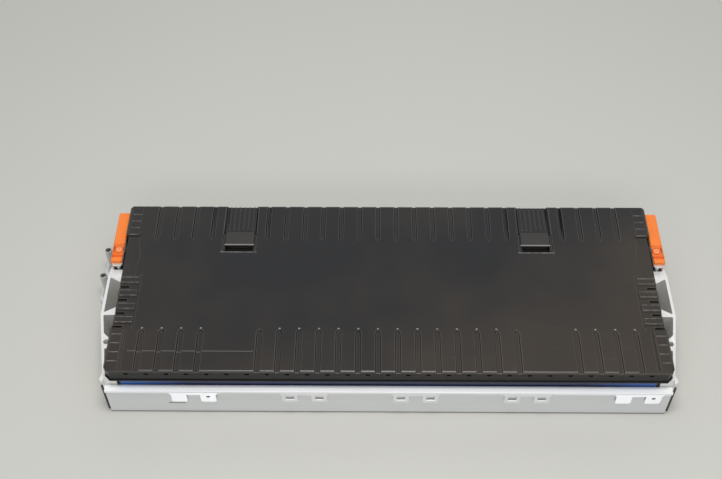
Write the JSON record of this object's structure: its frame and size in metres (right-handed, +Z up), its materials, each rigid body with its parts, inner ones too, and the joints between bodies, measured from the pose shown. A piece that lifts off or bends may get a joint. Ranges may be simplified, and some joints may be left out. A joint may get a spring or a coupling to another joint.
{
  "type": "battery module",
  "caption": "Long flat traction battery module with a fluted black cover, aluminium frame plates, orange terminal covers and two coolant tubes.",
  "frame": {"origin": "middle of the underside, on the plane it rests on", "axes": "+X along the module towards the end without coolant tubes, +Y towards the edge with the connector bays, +Z up"},
  "size_m": [0.8905, 0.32, 0.1044],
  "materials": {
    "cover_plastic": "moulded, near black, soft sheen",
    "orange_plastic": "moulded high-voltage orange",
    "aluminium": "mill finish, lightly brushed",
    "cell_can": "drawn can",
    "blue_film": "insulating film",
    "aerogel_pad": "soft pad",
    "gap_pad": "soft heat-conducting pad",
    "insulator_plastic": "moulded dark grey",
    "busbar_metal": "bright strip",
    "plated_bar": "nickel-plated strip",
    "flex_film": "amber film",
    "zinc_steel": "zinc-plated"
  },
  "bodies": {
    "root": {"busbar_carrier_back": "insulator_plastic", "busbar_carrier_front": "insulator_plastic", "cell_busbars_back": "busbar_metal", "cell_busbars_front": "busbar_metal", "cell_spacers_back": "aerogel_pad", "cell_spacers_front": "aerogel_pad", "cells_back_row": "cell_can", "cells_front_row": "cell_can", "centre_insulator": "insulator_plastic", "channel_sheet": "aluminium", "collector_bar_left": "plated_bar", "collector_bar_right": "plated_bar", "connector_flap_left": "cover_plastic", "connector_flap_right": "cover_plastic", "coolant_inlet_spigot": "aluminium", "coolant_outlet_spigot": "aluminium", "cooling_plate": "aluminium", "corner_screws": "zinc_steel", "end_insulator_left": "insulator_plastic", "end_insulator_right": "insulator_plastic", "end_plate_left": "aluminium", "end_plate_right": "aluminium", "hv_cover_left": "orange_plastic", "hv_cover_right": "orange_plastic", "sense_connector_left": "insulator_plastic", "sense_connector_right": "insulator_plastic", "sensing_flex_back": "flex_film", "sensing_flex_front": "flex_film", "side_film_back": "blue_film", "side_film_front": "blue_film", "side_plate_back": "aluminium", "side_plate_front": "aluminium", "tab_rail_front": "aluminium", "temperature_sensors": "flex_film", "terminal_bar_left": "plated_bar", "terminal_bar_right": "plated_bar", "terminal_block_left": "insulator_plastic", "terminal_block_right": "insulator_plastic", "terminal_nuts": "zinc_steel", "terminal_posts": "zinc_steel", "terminal_screws": "zinc_steel", "thermal_pad": "gap_pad", "top_cover": "cover_plastic"}
  },
  "joints": []
}
